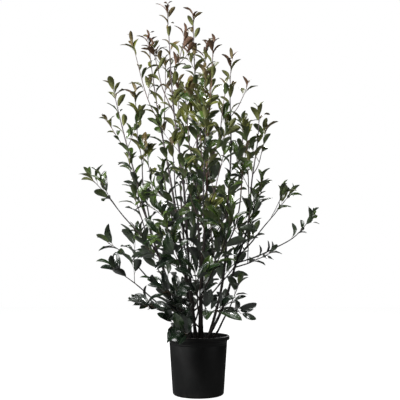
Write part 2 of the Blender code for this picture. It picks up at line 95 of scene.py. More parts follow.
# name: parent, share along it, tip, out, lift, share that is a limb of its own, variant, spacing
boughs = {
    "left_long": ("stem_7", 0.36, (-0.485, -0.02, 0.955), 0.2, -0.05, 0.5, 37, 1.0),
    "left_tall": ("stem_7", 0.42, (-0.305, 0.12, 1.375), 0.1, 0.55, 0.4, 39, 1.0),
    "left_middle": ("stem_7", 0.14, (-0.41, 0.02, 0.665), 0.1, -0.25, 0.52, 20, 1.0),
    "left_low": ("stem_7", 0.07, (-0.365, -0.1, 0.55), 0.1, -0.1, 0.6, 38, 0.8),
    "left_front": ("stem_6", 0.3, (-0.15, -0.16, 0.97), 0.4, 0.9, 0.3, 12, 1.0),
    "left_inner": ("stem_1", 0.3, (-0.115, -0.12, 1.105), 0.7, 0.9, 0.36, 27, 1.6),
    "right_long": ("stem_5", 0.38, (0.42, 0.05, 0.885), 0.1, 0.0, 0.52, 33, 0.8),
    "right_reach": ("stem_5", 0.35, (0.507, -0.04, 0.785), 0.9, 0.9, 0.56, 6, 1.0),
    "right_tall": ("stem_4", 0.33, (0.215, 0.14, 1.25), 0.8, 1.1, 0.4, 2, 1.3),
    "back_left": ("stem_8", 0.3, (-0.27, 0.36, 1.15), 0.5, 0.8, 0.36, 3, 1.0),
    "back_right": ("stem_8", 0.26, (0.245, 0.36, 1.14), 0.5, 0.8, 0.42, 39, 1.0),
    "back_middle": ("stem_8", 0.2, (-0.015, 0.46, 0.88), 0.5, 0.6, 0.32, 8, 1.0),
}

# sprays start right at their parent and forks inside its foliage: the same rows, with the share
# that has no leaves in place of the limb's
sprays = {
    "left_foot": ("stem_6", 0.04, (-0.235, 0.05, 0.385), 0.5, -0.4, 0.36, 31, 0.8),
    "left_rim": ("stem_7", 0.03, (-0.115, -0.175, 0.305), 0.3, -1.2, 0.24, 14, 0.8),
    "left_twig": ("stem_7", 0.46, (-0.33, 0.09, 1.06), 0.1, 0.3, 0.2, 4, 2.0),
    "left_spur": ("stem_7", 0.33, (-0.275, -0.11, 0.855), 0.3, 0.3, 0.2, 25, 1.6),
    "right_low": ("stem_5", 0.33, (0.31, -0.1, 0.615), 0.5, 0.1, 0.3, 9, 1.1),
    "right_spur": ("stem_5", 0.5, (0.285, -0.02, 0.9), 0.2, 0.2, 0.3, 53, 1.0),
    "back_low_left": ("stem_8", 0.12, (-0.3, 0.32, 0.71), 0.4, 0.3, 0.32, 25, 1.0),
    "back_low_right": ("stem_8", 0.1, (0.27, 0.34, 0.71), 0.4, 0.3, 0.32, 35, 1.0),
    "back_foot": ("stem_8", 0.06, (0.04, 0.36, 0.47), 0.4, 0.0, 0.28, 53, 1.0),
    "front_left": ("stem_9", 0.22, (-0.12, -0.38, 0.715), 0.4, 0.5, 0.32, 20, 1.0),
    "front_right": ("stem_9", 0.26, (0.135, -0.38, 0.765), 0.4, 0.5, 0.32, 24, 1.6),
    "front_low": ("stem_9", 0.12, (-0.01, -0.4, 0.525), 0.4, 0.1, 0.28, 9, 2.0),
    "front_foot": ("stem_9", 0.08, (-0.07, -0.27, 0.43), 0.8, 0.0, 0.24, 16, 1.0),
}
forks = {
    "fork_1": ("stem_1", 0.78, (-0.06, -0.09, 1.6), 0.3, 0.5, 0.25, 17, 1.3),
    "fork_1_left": ("stem_1", 0.68, (-0.205, -0.06, 1.545), 0.3, 0.5, 0.25, 27, 1.3),
    "fork_2": ("stem_2", 0.6, (0.035, 0.01, 1.56), 0.3, 0.5, 0.25, 42, 0.8),
    "fork_2_low": ("stem_2", 0.5, (-0.06, 0.01, 1.33), 0.3, 0.5, 0.25, 7, 0.8),
    "fork_2_right": ("stem_2", 0.56, (0.06, 0.05, 1.45), 0.3, 0.5, 0.25, 24, 0.8),
    "fork_3": ("stem_3", 0.52, (0.0, -0.19, 1.27), 0.3, 0.5, 0.25, 19, 0.8),
    "fork_3_right": ("stem_3", 0.56, (0.12, -0.17, 1.33), 0.3, 0.5, 0.25, 0, 1.6),
    "fork_3_top": ("stem_3", 0.62, (0.03, -0.15, 1.4), 0.3, 0.5, 0.25, 51, 0.8),
    "fork_4": ("stem_4", 0.8, (0.225, 0.03, 1.385), 0.3, 0.3, 0.25, 25, 2.0),
    "fork_5": ("stem_5", 0.74, (0.305, -0.02, 1.175), 0.5, 0.8, 0.25, 40, 1.0),
    "fork_5_left": ("stem_5", 0.6, (0.215, -0.11, 1.13), 0.3, 0.5, 0.25, 20, 1.3),
    "fork_6": ("stem_6", 0.72, (-0.31, 0.02, 1.6), 0.3, 0.1, 0.25, 11, 1.3),
    "fork_6_right": ("stem_6", 0.68, (-0.155, 0.06, 1.51), 0.3, 0.5, 0.25, 10, 1.3),
    "fork_7": ("stem_7", 0.76, (-0.43, -0.02, 1.23), 0.3, -0.2, 0.25, 27, 1.3),
    "fork_8": ("stem_8", 0.5, (0.05, 0.29, 1.21), 0.3, 0.5, 0.25, 30, 0.8),
    "fork_2_back": ("stem_2", 0.4, (0.03, 0.19, 1.16), 0.3, 0.5, 0.25, 49, 1.0),
    "fork_back": ("back_middle", 0.5, (-0.12, 0.33, 0.8), 0.3, 0.5, 0.25, 2, 1.0),
    "fork_9": ("stem_9", 0.56, (-0.06, -0.31, 0.96), 0.3, 0.4, 0.25, 18, 1.0),
    "fork_9_right": ("stem_9", 0.62, (0.105, -0.33, 1.02), 0.3, 0.4, 0.25, 12, 2.0),
    "fork_10": ("stem_10", 0.66, (0.18, -0.13, 0.36), 0.3, -0.4, 0.3, 3, 1.0),
    "fork_middle": ("front_right", 0.42, (0.05, -0.3, 0.82), 0.3, 0.5, 0.3, 18, 1.6),
    "fork_low": ("front_low", 0.45, (-0.16, -0.3, 0.48), 0.3, 0.2, 0.3, 25, 1.6),
    "fork_left": ("front_left", 0.5, (-0.215, -0.27, 0.64), 0.3, 0.3, 0.3, 35, 1.0),
    "fork_centre": ("front_low", 0.5, (0.07, -0.32, 0.59), 0.3, 0.4, 0.3, 26, 2.0),
    "fork_upper": ("front_right", 0.5, (0.125, -0.26, 0.88), 0.3, 0.4, 0.3, 23, 2.0),
    "fork_inner": ("left_front", 0.5, (-0.05, -0.24, 0.82), 0.3, 0.4, 0.3, 19, 1.3),
    "fork_right": ("right_low", 0.36, (0.215, -0.16, 0.815), 0.3, 0.5, 0.3, 9, 1.3),
    "fork_rim_front": ("left_rim", 0.34, (-0.045, -0.175, 0.365), 0.3, -0.2, 0.2, 27, 1.0),
    "fork_rim_high": ("left_rim", 0.28, (-0.09, -0.14, 0.45), 0.3, 0.3, 0.2, 18, 1.0),
}
branches = boughs | sprays | forks
deals = {name: row[-2:] for name, row in (stems | branches).items()}


class Shoot:
    # a cubic from start to tip, with a slow wander to either side

    def __init__(self, name, start, tip, out, lift):
        self.name = name
        self.start = Vector(start)
        self.tip = Vector(tip)
        chord = self.tip - self.start
        level = Vector((chord.x, chord.y, 0)).normalized()
        handle = chord.length * growth["curveHandle"]
        self.first = self.start + (chord.normalized() + level * out).normalized() * handle
        self.second = self.tip - (chord.normalized() + Vector((0, 0, lift))).normalized() * handle
        rng = random.Random(name)
        self.across = Matrix.Rotation(rng.uniform(0, math.tau), 3, chord) @ chord.orthogonal().normalized()
        self.waves = rng.uniform(*growth["waves"])
        self.wander = growth["wander"] * min(1, chord.length)
        steps = growth["curveSteps"]
        self.length = sum((self.at((i + 1) / steps) - self.at(i / steps)).length for i in range(steps))

    def at(self, t):
        s = 1 - t
        smooth = (self.start * s**3 + self.first * 3 * s * s * t
                  + self.second * 3 * s * t * t + self.tip * t**3)
        side = self.across * self.wander * math.sin(math.pi * t)
        return smooth + side * math.sin(math.tau * self.waves * t)

    def along(self, t):
        ahead = growth["ahead"]
        return (self.at(min(1, t + ahead)) - self.at(max(0, t - ahead))).normalized()


shoots = {}
for name, (foot, *course) in stems.items():
    shoots[name] = Shoot(name, (*foot, growth["soilTop"] + growth["clear"]), *course[:3])
for name, (parent, share, *course) in branches.items():
    shoots[name] = Shoot(name, shoots[parent].at(share), *course[:3])


def limbShare(name):
    return stems[name][-3] if name in stems else boughs[name][-3] if name in boughs else 0


def radiusAt(name, t):
    if name in stems:
        short = growth["shortStemShare"]
        thick = growth["stemRadius"] * (short + (1 - short) * stems[name][1][2] / growth["crownTop"])
        thick *= 1 + growth["flare"] * max(0, 1 - t / growth["flareShare"]) ** 2
    else:
        parent, share = branches[name][:2]
        thick = min(growth["boughRadius"], growth["parentShare"] * radiusAt(parent, share))
    return growth["whipRadius"] + (thick - growth["whipRadius"]) * max(0, 1 - t) ** growth["taperPower"]


# Helpers for objects and meshes


def deselectAll():
    if bpy.context.object and bpy.context.object.mode != "OBJECT":
        bpy.ops.object.mode_set(mode="OBJECT")
    bpy.ops.object.select_all(action="DESELECT")


def addObject(name, data):
    piece = bpy.data.objects.new(name, data)
    bpy.context.scene.collection.objects.link(piece)
    return piece


def makeActive(piece):
    deselectAll()
    piece.select_set(True)
    bpy.context.view_layer.objects.active = piece


def startEdit():
    bpy.ops.object.mode_set(mode="EDIT")
    bpy.ops.mesh.select_all(action="SELECT")


def endEdit():
    # every face turned outward, then back to object mode
    bpy.ops.mesh.select_all(action="SELECT")
    bpy.ops.mesh.normals_make_consistent(inside=False)
    bpy.ops.object.mode_set(mode="OBJECT")


def applyAll(piece):
    # every modifier applied in turn
    makeActive(piece)
    for modifier in list(piece.modifiers):
        bpy.ops.object.modifier_apply(modifier=modifier.name)


def settle(piece):
    # the piece's place goes into its mesh
    makeActive(piece)
    bpy.ops.object.transform_apply(location=True, rotation=True, scale=True)


def finishPiece(piece, name, material, nodes, smoothAngle):
    settle(piece)
    piece.name = name
    piece.data.name = name
    piece.data.materials.clear()
    piece.data.materials.append(material)
    bpy.ops.object.shade_smooth_by_angle(angle=math.radians(smoothAngle))
    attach(piece, "root")
    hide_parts(*nodes)


def meshPiece(name, points, faces, figures=None):
    # a joined mesh from arrays, with a UV for each corner
    mesh = bpy.data.meshes.new(name)
    sizes = np.array([len(face) for face in faces], dtype=np.int32)
    corners = np.array([i for face in faces for i in face], dtype=np.int32)
    mesh.vertices.add(len(points))
    mesh.vertices.foreach_set("co", np.array(points, dtype=np.float32).ravel())
    mesh.loops.add(len(corners))
    mesh.loops.foreach_set("vertex_index", corners)
    mesh.polygons.add(len(sizes))
    mesh.polygons.foreach_set("loop_start", np.concatenate(([0], np.cumsum(sizes)[:-1])).astype(np.int32))
    mesh.update(calc_edges=True)
    if figures is not None:
        layer = mesh.uv_layers.new(name="figure")
        layer.data.foreach_set("uv", np.array(figures, dtype=np.float32).ravel())
    mesh.validate()
    return addObject(name, mesh)


def addRelief(piece, name, grain, depth, strength):
    # clouds of one grain raise and lower the surface
    clouds = bpy.data.textures.get(name) or bpy.data.textures.new(name, "CLOUDS")
    clouds.noise_scale = grain
    clouds.noise_depth = depth
    relief = piece.modifiers.new("relief", "DISPLACE")
    relief.texture = clouds
    relief.strength = strength
    return relief


# Shader groups and nodes that several finishes share


def newGroup(name, inputs, outputs):
    group = bpy.data.node_groups.new(name, "ShaderNodeTree")
    for label, kind in inputs.items():
        group.interface.new_socket(name=label, in_out="INPUT", socket_type=kind)
    for label in outputs:
        group.interface.new_socket(name=label, in_out="OUTPUT", socket_type="NodeSocketFloat")
    return group, group.nodes.new("NodeGroupInput"), group.nodes.new("NodeGroupOutput")


def feed(tree, node, inputs):
    # inputs of a node by name or number, each from a socket or a plain value
    for label, value in inputs.items():
        if isinstance(value, bpy.types.NodeSocket):
            tree.links.new(value, node.inputs[label])
        else:
            node.inputs[label].default_value = value


def addNode(tree, kind, inputs):
    node = tree.nodes.new(kind)
    feed(tree, node, inputs)
    return node


def mathNode(tree, operation, *values):
    node = addNode(tree, "ShaderNodeMath", dict(enumerate(values)))
    node.operation = operation
    return node.outputs[0]


def times(tree, first, second):
    return mathNode(tree, "MULTIPLY", first, second)


def plus(tree, first, second):
    return mathNode(tree, "ADD", first, second)


def minus(tree, first, second):
    return mathNode(tree, "SUBTRACT", first, second)


def ramp(tree, value, fromLow, fromHigh, toLow=0.0, toHigh=1.0):
    node = addNode(tree, "ShaderNodeMapRange", {
        "Value": value, "From Min": fromLow, "From Max": fromHigh, "To Min": toLow, "To Max": toHigh})
    node.interpolation_type = "SMOOTHSTEP"
    return node.outputs["Result"]


patches = {
    "patchDetail": 3,
    "grainDetail": 5,
    "roughness": 0.6,
    "contrast": (0.32, 0.68),
    "patchHeight": 0.35,
}


def makePatchyTone():
    # broad patches, fine grain, and the two together as a height
    inputs = {"Vector": "NodeSocketVector",
              "Patch Scale": "NodeSocketFloat", "Grain Scale": "NodeSocketFloat"}
    group, source, result = newGroup("patchyTone", inputs, ("Patch", "Grain", "Height"))
    values = []
    for label, detail in (("Patch Scale", patches["patchDetail"]), ("Grain Scale", patches["grainDetail"])):
        cloud = addNode(group, "ShaderNodeTexNoise", {
            "Detail": detail, "Roughness": patches["roughness"],
            "Vector": source.outputs["Vector"], "Scale": source.outputs[label]})
        values.append(ramp(group, cloud.outputs["Fac"], *patches["contrast"]))
    height = plus(group, times(group, values[0], patches["patchHeight"]), values[1])
    feed(group, result, {"Patch": values[0], "Grain": values[1], "Height": height})
    return group


veins = {
    "underside": 2.0,         # how far the underside's UVs lie from those above
    "midrib": (0.03, 0.13),
    "margin": (0.84, 1.0),
    "pairs": 8,
    "slant": 3.2,
    "fineness": 14.0,
    "fade": (0.2, 0.95, 1.0, 0.15),
    "height": 0.45,
}


def makeLeafFigure():
    # the leaf's UV is across and along; side veins leave the midrib at a slant
    group, source, result = newGroup(
        "leafFigure", {"Vector": "NodeSocketVector"}, ("Midrib", "Veins", "Margin", "Underside", "Height"))
    split = addNode(group, "ShaderNodeSeparateXYZ", {"Vector": source.outputs["Vector"]})
    underside = mathNode(group, "GREATER_THAN", split.outputs["X"], veins["underside"] - 0.5)
    local = minus(group, split.outputs["X"], times(group, underside, veins["underside"]))
    across = times(group, mathNode(group, "ABSOLUTE", minus(group, local, 0.5)), 2.0)
    midrib = ramp(group, across, *veins["midrib"], 1.0, 0.0)
    margin = ramp(group, across, *veins["margin"])
    phase = minus(group, times(group, split.outputs["Y"], veins["pairs"] * math.pi),
                  times(group, across, veins["slant"]))
    wave = mathNode(group, "ABSOLUTE", mathNode(group, "COSINE", phase))
    crest = mathNode(group, "POWER", wave, veins["fineness"])
    sideVeins = times(group, crest, ramp(group, across, *veins["fade"]))
    lines = plus(group, midrib, times(group, sideVeins, veins["height"]))
    turned = minus(group, times(group, underside, 2.0), 1.0)
    height = times(group, lines, turned)
    feed(group, result, {"Midrib": midrib, "Veins": sideVeins, "Margin": margin,
                         "Underside": underside, "Height": height})
    return group


patchyTone = makePatchyTone()
leafFigure = makeLeafFigure()


def newMaterial(name):
    material = bpy.data.materials.new(name)
    material.use_nodes = True
    return material, material.node_tree, material.node_tree.nodes["Principled BSDF"]


def placeGroup(tree, group, inputs):
    node = tree.nodes.new("ShaderNodeGroup")
    node.node_tree = group
    feed(tree, node, inputs)
    return node.outputs


def placeTone(tree, vector, scales):
    return placeGroup(tree, patchyTone, {
        "Vector": vector, "Patch Scale": scales[0], "Grain Scale": scales[1]})


def objectPlace(tree, stretch=(1, 1, 1)):
    place = tree.nodes.new("ShaderNodeTexCoord")
    return addNode(tree, "ShaderNodeMapping", {
        "Scale": stretch, "Vector": place.outputs["Object"]}).outputs["Vector"]


def heightOf(tree, place):
    return addNode(tree, "ShaderNodeSeparateXYZ", {"Vector": place}).outputs["Z"]


def blendColour(tree, factor, first, second):
    # first and second are sockets or colours
    node = tree.nodes.new("ShaderNodeMix")
    node.data_type = "RGBA"
    inputs = {"Factor": factor}
    for label, value in (("A", first), ("B", second)):
        number = next(i for i, s in enumerate(node.inputs) if s.name == label and s.type == "RGBA")
        inputs[number] = (*value, 1) if isinstance(value, tuple) else value
    feed(tree, node, inputs)
    return next(s for s in node.outputs if s.type == "RGBA")


def bumpNormal(tree, height, distance):
    return addNode(tree, "ShaderNodeBump", {
        "Height": height, "Distance": distance, "Strength": 1.0}).outputs["Normal"]


# Finishes

potFinish = {
    "black": (0.0022, 0.0024, 0.0025),
    "worn": (0.0042, 0.0044, 0.0043),
    "dust": (0.016, 0.014, 0.012),
    "footDust": (0.0, 0.035, 0.55, 0.0),       # from and to these heights, how much of it
    "lipDust": (0.225, 0.250, 0.0, 0.30),
    "toneScales": (7.0, 420.0),
    "scuffStretch": (30, 30, 3),
    "scuffScales": (2.0, 9.0),
    "sheen": (0.44, 0.58),
    "scuffDulling": 0.08,
    "relief": 0.00008,
    "specular": 0.20,
}


def makePotPlastic():
    material, tree, shader = newMaterial("blackPlastic")
    place = objectPlace(tree)
    tone = placeTone(tree, place, potFinish["toneScales"])
    scuffs = placeTone(tree, objectPlace(tree, potFinish["scuffStretch"]), potFinish["scuffScales"])
    colour = blendColour(tree, tone["Patch"], potFinish["black"], potFinish["worn"])
    height = heightOf(tree, place)
    dusty = plus(tree, ramp(tree, height, *potFinish["footDust"]), ramp(tree, height, *potFinish["lipDust"]))
    colour = blendColour(tree, times(tree, dusty, scuffs["Patch"]), colour, potFinish["dust"])
    rough = ramp(tree, tone["Patch"], 0.0, 1.0, *potFinish["sheen"])
    feed(tree, shader, {
        "Base Color": colour,
        "Roughness": plus(tree, rough, times(tree, scuffs["Grain"], potFinish["scuffDulling"])),
        "Normal": bumpNormal(tree, tone["Height"], potFinish["relief"]),
        "Specular IOR Level": potFinish["specular"]})
    return material


soilFinish = {
    "damp": (0.012, 0.008, 0.006),
    "dry": (0.055, 0.036, 0.024),
    "chipDamp": (0.022, 0.013, 0.008),
    "chipDry": (0.105, 0.062, 0.034),
    "toneScales": (60.0, 500.0),
    "roughness": (0.82, 0.98),
    "relief": 0.0012,
}


def makeSoilFinish(name, damp, dry):
    material, tree, shader = newMaterial(name)
    tone = placeTone(tree, objectPlace(tree), soilFinish["toneScales"])
    feed(tree, shader, {
        "Base Color": blendColour(tree, tone["Patch"], damp, dry),
        "Roughness": ramp(tree, tone["Grain"], 0.0, 1.0, *soilFinish["roughness"]),
        "Normal": bumpNormal(tree, tone["Height"], soilFinish["relief"])})
    return material


barkFinish = {
    "old": (0.0045, 0.0034, 0.0028),
    "oldPale": (0.0130, 0.0098, 0.0082),
    "young": (0.070, 0.054, 0.060),
    "youngPale": (0.145, 0.120, 0.126),
    "lenticel": (0.100, 0.074, 0.052),
    "turn": (0.55, 1.25),     # the heights between which old wood turns to young
    "brown": (1.5, 1.0, 0.65),
    "twig": (1.15, 1.0, 0.85),
    "stretch": (1, 1, 0.2),
    "toneScales": (90.0, 700.0),
    "lenticelScale": 240.0,
    "lenticelEdge": (0.12, 0.24, 0.8, 0.0),
    "roughness": (0.55, 0.80),
    "relief": 0.0004,
    "specular": 0.30,
}


def makeBark(name, warmth=(1, 1, 1)):
    # dark and brown on the old wood below, grey with a purple cast on the young shoots
    material, tree, shader = newMaterial(name)
    tone = placeTone(tree, objectPlace(tree, barkFinish["stretch"]), barkFinish["toneScales"])
    tinted = {label: tuple(c * w for c, w in zip(barkFinish[label], warmth))
              for label in ("old", "oldPale", "young", "youngPale")}
    low = blendColour(tree, tone["Patch"], tinted["old"], tinted["oldPale"])
    high = blendColour(tree, tone["Patch"], tinted["young"], tinted["youngPale"])
    place = objectPlace(tree)
    colour = blendColour(tree, ramp(tree, heightOf(tree, place), *barkFinish["turn"]), low, high)
    cells = addNode(tree, "ShaderNodeTexVoronoi", {"Scale": barkFinish["lenticelScale"], "Vector": place})
    spots = ramp(tree, cells.outputs["Distance"], *barkFinish["lenticelEdge"])
    feed(tree, shader, {
        "Base Color": blendColour(tree, spots, colour, barkFinish["lenticel"]),
        "Roughness": ramp(tree, tone["Grain"], 0.0, 1.0, *barkFinish["roughness"]),
        "Normal": bumpNormal(tree, plus(tree, tone["Height"], spots), barkFinish["relief"]),
        "Specular IOR Level": barkFinish["specular"]})
    return material


# leaf tints, from the darkest at the foot of the crown, partly the older leaves' own deep green and partly
# painted shade, through a mid green that also stands in for painted light through backlit leaves, to the
# young shoots at its top
leafTints = {
    "Shade": {"dark": (0.0028, 0.0060, 0.0036), "light": (0.0065, 0.0140, 0.0065),
              "under": (0.014, 0.022, 0.012), "wax": 0.65},
    "Deep": {"dark": (0.0045, 0.0105, 0.0045), "light": (0.0140, 0.0310, 0.0080),
             "under": (0.024, 0.038, 0.016), "wax": 0.75},
    "Mid": {"dark": (0.0120, 0.0270, 0.0050), "light": (0.0500, 0.0860, 0.0120),
            "under": (0.066, 0.094, 0.026), "wax": 0.55},
    "Olive": {"dark": (0.0320, 0.0370, 0.0070), "light": (0.1220, 0.1300, 0.0200),
              "under": (0.124, 0.134, 0.038), "wax": 0.30},
    "Bronze": {"dark": (0.0370, 0.0240, 0.0080), "light": (0.1320, 0.0900, 0.0260),
               "under": (0.138, 0.106, 0.042), "wax": 0.25},
    "Red": {"dark": (0.0420, 0.0145, 0.0085), "light": (0.1180, 0.0440, 0.0200),
            "under": (0.116, 0.062, 0.034), "wax": 0.25},
}
stalkTint = {"dark": (0.070, 0.048, 0.018), "light": (0.120, 0.070, 0.034),
             "under": (0.10, 0.07, 0.03), "wax": 0.2}
leafFinish = {
    "gloss": (0.20, 0.32),
    "dull": 0.34,             # how much rougher the underside is
    "waxRoughness": 0.13,
    "toneScales": (11.0, 260.0),
    "marginTone": 0.55,
    "marginShare": 0.6,
    "veinShare": 0.28,
    "ribTone": 1.5,
    "ribShare": 0.7,
    "grainHeight": 0.25,
    "relief": 0.0004,
}


def makeLeafFinish(name, tint):
    material, tree, shader = newMaterial(name)
    uv = tree.nodes.new("ShaderNodeUVMap")
    uv.uv_map = "figure"
    figure = placeGroup(tree, leafFigure, {"Vector": uv.outputs["UV"]})
    tone = placeTone(tree, objectPlace(tree), leafFinish["toneScales"])
    colour = blendColour(tree, tone["Patch"], tint["dark"], tint["light"])
    margin = tuple(leafFinish["marginTone"] * c for c in tint["light"])
    colour = blendColour(tree, times(tree, figure["Margin"], leafFinish["marginShare"]), colour, margin)
    colour = blendColour(tree, times(tree, figure["Veins"], leafFinish["veinShare"]), colour, tint["under"])
    colour = blendColour(tree, figure["Underside"], colour, tint["under"])
    rib = tuple(leafFinish["ribTone"] * c for c in tint["under"])
    colour = blendColour(tree, times(tree, figure["Midrib"], leafFinish["ribShare"]), colour, rib)
    rough = ramp(tree, tone["Grain"], 0.0, 1.0, *leafFinish["gloss"])
    height = plus(tree, figure["Height"], times(tree, tone["Grain"], leafFinish["grainHeight"]))
    feed(tree, shader, {
        "Base Color": colour,
        "Roughness": plus(tree, rough, times(tree, figure["Underside"], leafFinish["dull"])),
        "Normal": bumpNormal(tree, height, leafFinish["relief"]),
        "Coat Weight": tint["wax"],
        "Coat Roughness": leafFinish["waxRoughness"]})
    return material


potPlastic = makePotPlastic()
soilCrumb = makeSoilFinish("pottingSoil", soilFinish["damp"], soilFinish["dry"])
soilChip = makeSoilFinish("barkChips", soilFinish["chipDamp"], soilFinish["chipDry"])
bark = makeBark("bark")
brownBark = makeBark("brownBark", barkFinish["brown"])
twigBark = makeBark("twigBark", barkFinish["twig"])
stalkFinish = makeLeafFinish("leafStalk", stalkTint)
leafFinishes = {label: makeLeafFinish(f"leaf{label}", tint) for label, tint in leafTints.items()}
print("finishes made:", len(bpy.data.materials))


# Pot: a disc drawn up into a tapered wall with a rolled lip, and back down inside

pot = {
    "sides": 96,
    "height": 0.255,
    "footRadius": 0.113,
    "topRadius": 0.130,
    "wall": 0.0022,
    "floor": 0.003,
    "footRound": 0.010,
    "lipHeight": 0.016,
    "lipOut": 0.0085,
    "lipRound": 0.003,
    "roundSteps": 5,
    "ringDepth": 0.0005,      # two shallow rings left by the mould, under the lip
    "ringHalf": (0.0016, 0.0008),
    "ringPlaces": (0.218, 0.226),
    "innerSteps": (0.035, 0.030),
    "drainCount": 6,
    "drainSides": 24,
    "drainRadius": 0.008,
    "drainDepth": 0.02,
    "drainRing": 0.078,
    "smoothAngle": 35,
}


def wallRadius(z):
    return pot["footRadius"] + (pot["topRadius"] - pot["footRadius"]) * z / pot["height"]


def potProfile():
    # radius and height, from the edge of the underside up the outside and down the inside
    roundness = pot["footRound"]
    lipRound = pot["lipRound"]
    wall = pot["wall"]
    lipLow = pot["height"] - pot["lipHeight"]
    lipRadius = pot["topRadius"] + pot["lipOut"]
    turns = [i / pot["roundSteps"] * math.pi / 2 for i in range(pot["roundSteps"] + 1)]
    profile = []
    for turn in turns:
        profile.append((wallRadius(0) - roundness * (1 - math.sin(turn)),
                        roundness * (1 - math.cos(turn))))
    wide, narrow = pot["ringHalf"]
    deep = pot["ringDepth"]
    for place in pot["ringPlaces"]:
        for step, depth in ((-wide, 0), (-narrow, deep), (narrow, deep), (wide, 0)):
            profile.append((wallRadius(place + step) - depth, place + step))
    profile += [(wallRadius(lipLow), lipLow - lipRound),
                (wallRadius(lipLow) + lipRound, lipLow - lipRound / 3)]
    profile += [(lipRadius - lipRound / 3, lipLow), (lipRadius, lipLow + lipRound / 3)]
    for turn in turns:
        profile.append((lipRadius - lipRound * (1 - math.cos(turn)),
                        pot["height"] - lipRound * (1 - math.sin(turn))))
    for turn in turns[1:]:
        profile.append((pot["topRadius"] - wall * math.sin(turn),
                        pot["height"] - lipRound * (1 - math.cos(turn))))
    for step in (*pot["innerSteps"], roundness):
        profile.append((wallRadius(step) - wall, step))
    profile.append((wallRadius(0) - wall - roundness / 2, pot["floor"]))
    return profile


def drawUp(profile):
    # from the selected ring, each step is an extrusion that is then widened or narrowed
    radius, height = profile[0]
    for nextRadius, nextHeight in profile[1:]:
        bpy.ops.mesh.extrude_region_move(TRANSFORM_OT_translate={"value": (0, 0, nextHeight - height)})
        scale = nextRadius / radius
        bpy.ops.transform.resize(value=(scale, scale, 1), center_override=(0, 0, nextHeight))
        radius, height = nextRadius, nextHeight


def cutDrains(piece):
    for i in range(pot["drainCount"]):
        turn = math.tau * i / pot["drainCount"]
        place = (pot["drainRing"] * math.cos(turn), pot["drainRing"] * math.sin(turn), 0)
        deselectAll()
        bpy.ops.mesh.primitive_cylinder_add(
            vertices=pot["drainSides"], radius=pot["drainRadius"], depth=pot["drainDepth"], location=place)
        cutter = bpy.context.object
        cut = piece.modifiers.new("drain", "BOOLEAN")
        cut.operation = "DIFFERENCE"
        cut.object = cutter
        applyAll(piece)
        bpy.data.objects.remove(cutter)


def makePot():
    profile = potProfile()
    deselectAll()
    bpy.ops.mesh.primitive_circle_add(vertices=pot["sides"], radius=profile[0][0], fill_type="NGON")
    piece = bpy.context.object
    startEdit()
    drawUp(profile)
    endEdit()
    cutDrains(piece)
    finishPiece(piece, "nurseryPot", potPlastic, ["pot"], pot["smoothAngle"])


makePot()
print("pot made")


# Soil: a disc in the pot with a crumbled top, bark chips and grit strewn on it

soil = {
    "top": 0.230,
    "gap": 0.0006,
    "rings": 9,
    "ringWidth": 0.0125,
    "relief": 0.007,
    "grain": 0.012,
    "grainDepth": 3,
    "footShare": 0.96,
    "topDepth": 0.001,
    "chips": 420,
    "chipSize": (0.003, 0.011),
    "chipSink": 0.003,
    "chipRise": 0.0015,
    "chipWidth": (0.2, 0.4),
    "chipThick": (0.12, 0.25),
    "chipTilt": 0.5,
    "chipJitter": (0.7, 1.3),
    "smoothAngle": 40,
    "chipSmoothAngle": 20,
}


def makeSoil():
    topRadius = wallRadius(soil["top"]) - pot["wall"] - soil["gap"]
    footRadius = wallRadius(pot["footRound"]) - pot["wall"] - soil["gap"]
    lowRadius = footRadius * soil["footShare"]
    foot = pot["floor"] + soil["gap"]
    deselectAll()
    bpy.ops.mesh.primitive_circle_add(
        vertices=pot["sides"], radius=lowRadius, fill_type="NGON", location=(0, 0, foot))
    piece = bpy.context.object
    settle(piece)
    startEdit()
    drawUp([(lowRadius, foot), (footRadius, pot["footRound"] + soil["gap"]), (topRadius, soil["top"])])
    top = piece.vertex_groups.new(name="top")
    for ring in range(soil["rings"]):
        bpy.ops.mesh.inset(thickness=soil["ringWidth"])
        if ring == 0:
            bpy.ops.object.vertex_group_assign()
    bpy.ops.mesh.poke()
    endEdit()
    inner = [v.index for v in piece.data.vertices if v.co.z > soil["top"] - soil["topDepth"]
             and math.hypot(v.co.x, v.co.y) < topRadius - 0.5 * soil["ringWidth"]]
    top.add(inner, 1.0, "REPLACE")
    relief = addRelief(piece, "soilCrumb", soil["grain"], soil["grainDepth"], soil["relief"])
    relief.vertex_group = "top"
    relief.direction = "Z"
    relief.mid_level = 1.0
    applyAll(piece)
    finishPiece(piece, "pottingSoil", soilCrumb, ["soil"], soil["smoothAngle"])


